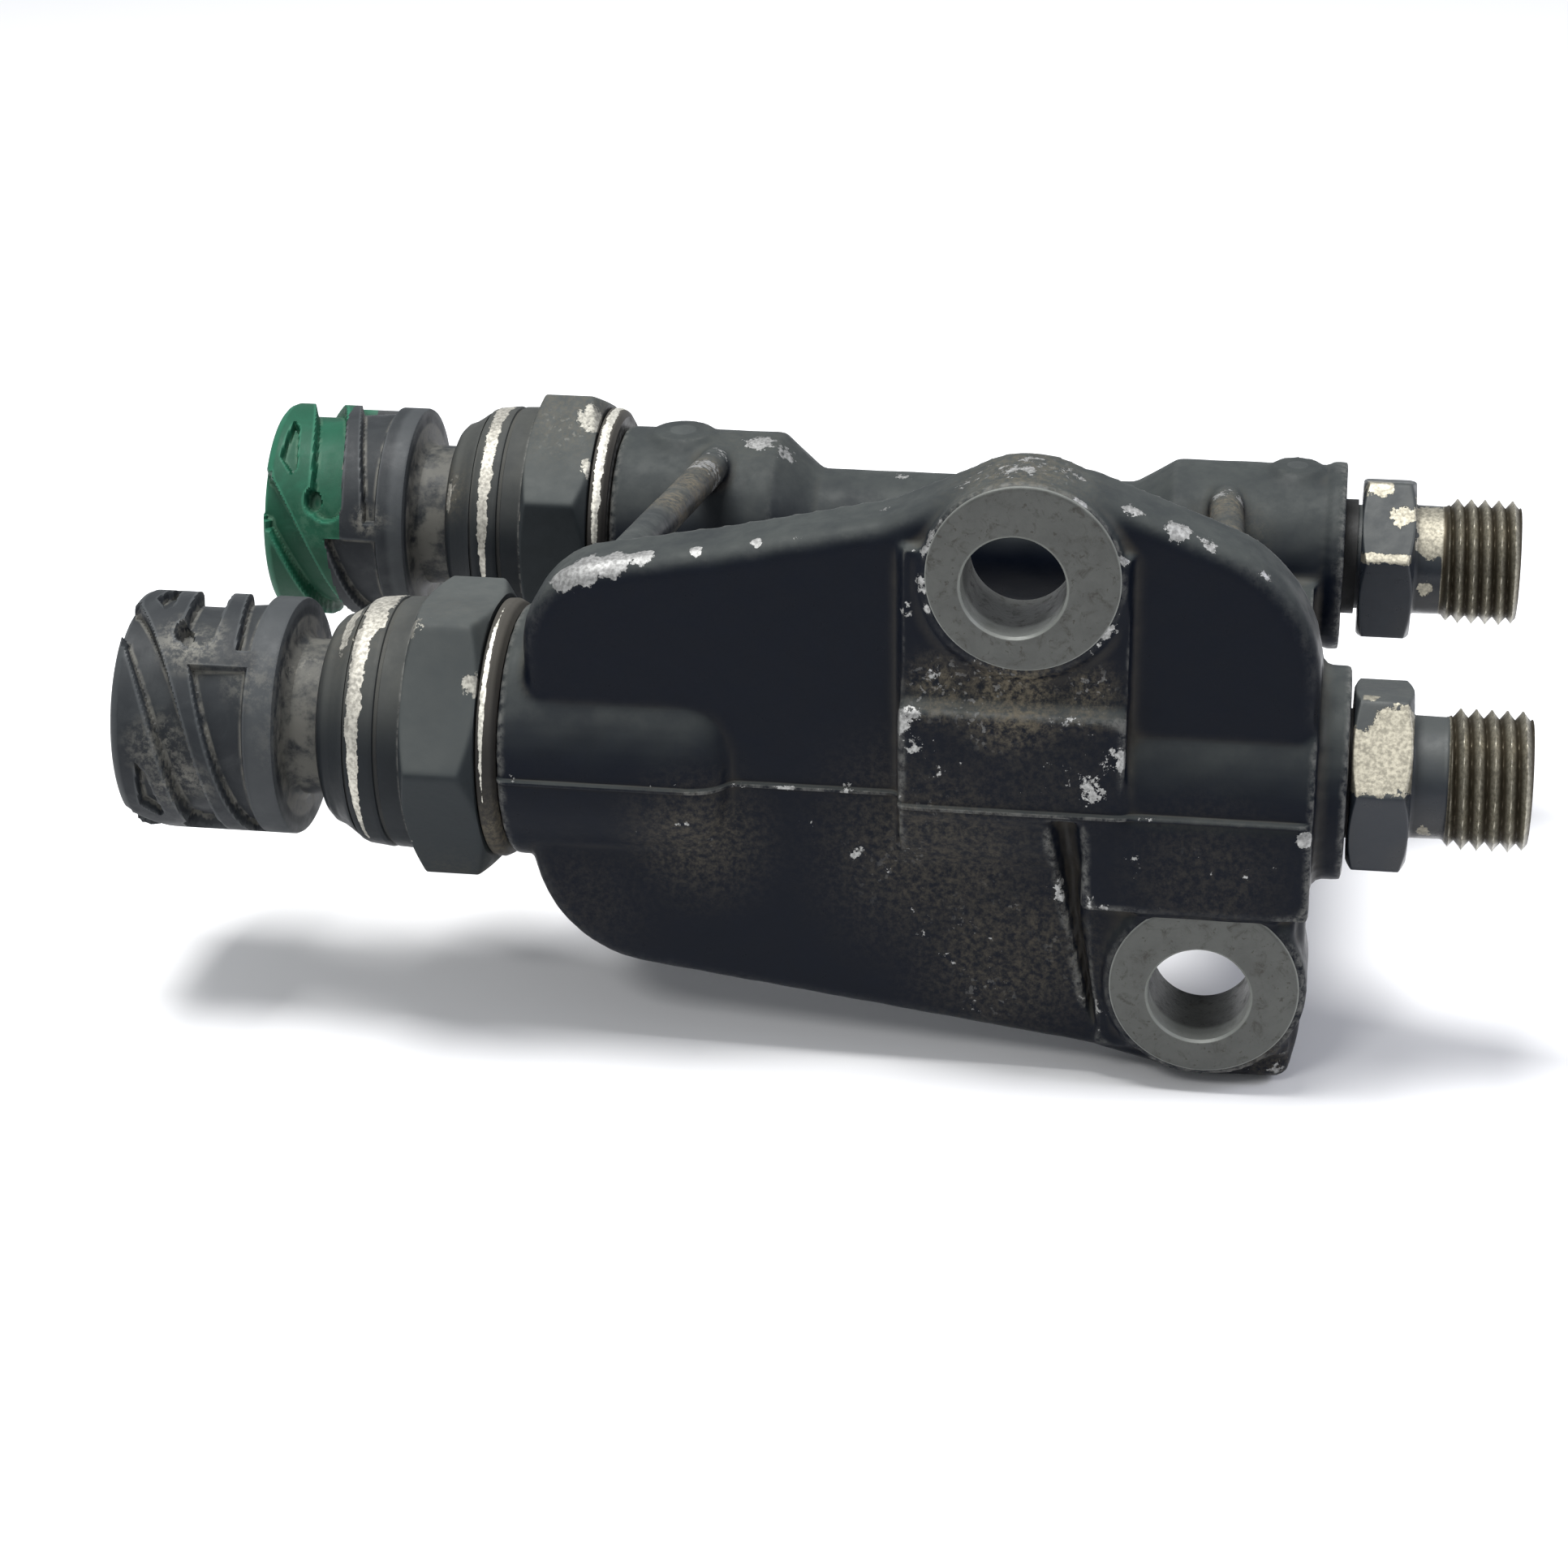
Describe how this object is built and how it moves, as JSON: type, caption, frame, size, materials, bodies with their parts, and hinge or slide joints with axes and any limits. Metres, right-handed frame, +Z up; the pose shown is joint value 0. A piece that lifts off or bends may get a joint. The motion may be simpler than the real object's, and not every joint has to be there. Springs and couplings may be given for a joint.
{
  "type": "solenoid directional valve",
  "caption": "Twin-station solenoid valve block with bayonet connectors, pipe unions and diagonal bolt holes.",
  "frame": {"origin": "centre of the upper bolt hole, on its machined face", "axes": "+X along both valve axes from the connectors to the pipe unions, +Y along the bolt holes from the machined faces to the rear valve, +Z up"},
  "size_m": [0.1408, 0.0833, 0.0636],
  "materials": {
    "cast_paint": "satin, worn and chipped",
    "plug_metal": "satin",
    "black_plastic": "moulded matte",
    "green_plastic": "moulded matte",
    "contact_metal": "tin plated",
    "seal_rubber": "matte",
    "orange_rubber": "matte",
    "collar_steel": "satin, worn to steel",
    "hex_steel": "satin, worn on the edges",
    "washer_steel": "bare",
    "bobbin_plastic": "matte",
    "copper_wire": "enamelled wire",
    "tube_steel": "drawn",
    "core_steel": "turned",
    "spring_steel": "drawn",
    "spool_steel": "ground",
    "sleeve_brass": "turned",
    "union_zinc": "zinc plated, worn"
  },
  "bodies": {
    "valve": {"valve_block": "cast_paint", "gallery_plugs": "plug_metal", "front_connector_housing": "black_plastic", "front_contact_pins": "contact_metal", "front_connector_seal": "orange_rubber", "front_crimp_collar": "collar_steel", "front_solenoid_case": "hex_steel", "front_sealing_washer": "washer_steel", "front_coil_bobbin": "bobbin_plastic", "front_coil_winding": "copper_wire", "front_core_tube": "tube_steel", "front_pole_core": "core_steel", "front_return_spring": "spring_steel", "front_valve_sleeve": "sleeve_brass", "front_sleeve_seals": "seal_rubber", "front_stem_seal": "seal_rubber", "front_union": "union_zinc", "front_union_seal": "seal_rubber", "rear_connector_housing": "black_plastic", "rear_contact_pins": "contact_metal", "rear_connector_seal": "orange_rubber", "rear_crimp_collar": "collar_steel", "rear_solenoid_case": "hex_steel", "rear_sealing_washer": "washer_steel", "rear_coil_bobbin": "bobbin_plastic", "rear_coil_winding": "copper_wire", "rear_core_tube": "tube_steel", "rear_pole_core": "core_steel", "rear_return_spring": "spring_steel", "rear_valve_sleeve": "sleeve_brass", "rear_sleeve_seals": "seal_rubber", "rear_stem_seal": "seal_rubber", "rear_union": "union_zinc", "rear_union_seal": "seal_rubber", "rear_bayonet_sleeve": "green_plastic"},
    "front_shuttle": {"front_armature": "core_steel", "front_valve_spool": "spool_steel"},
    "rear_shuttle": {"rear_armature": "core_steel", "rear_valve_spool": "spool_steel"}
  },
  "joints": [
    {"name": "front_shuttle_slide", "type": "slide", "parent": "valve", "child": "front_shuttle", "axis": [-1, 0, 0], "range_m": [0, 0.0014], "stiffness_N_per_m": 1000, "springref_m": -0.003, "deforming": ["front_return_spring"]},
    {"name": "rear_shuttle_slide", "type": "slide", "parent": "valve", "child": "rear_shuttle", "axis": [-1, 0, 0], "range_m": [0, 0.0014], "stiffness_N_per_m": 1000, "springref_m": -0.003, "deforming": ["rear_return_spring"]}
  ]
}
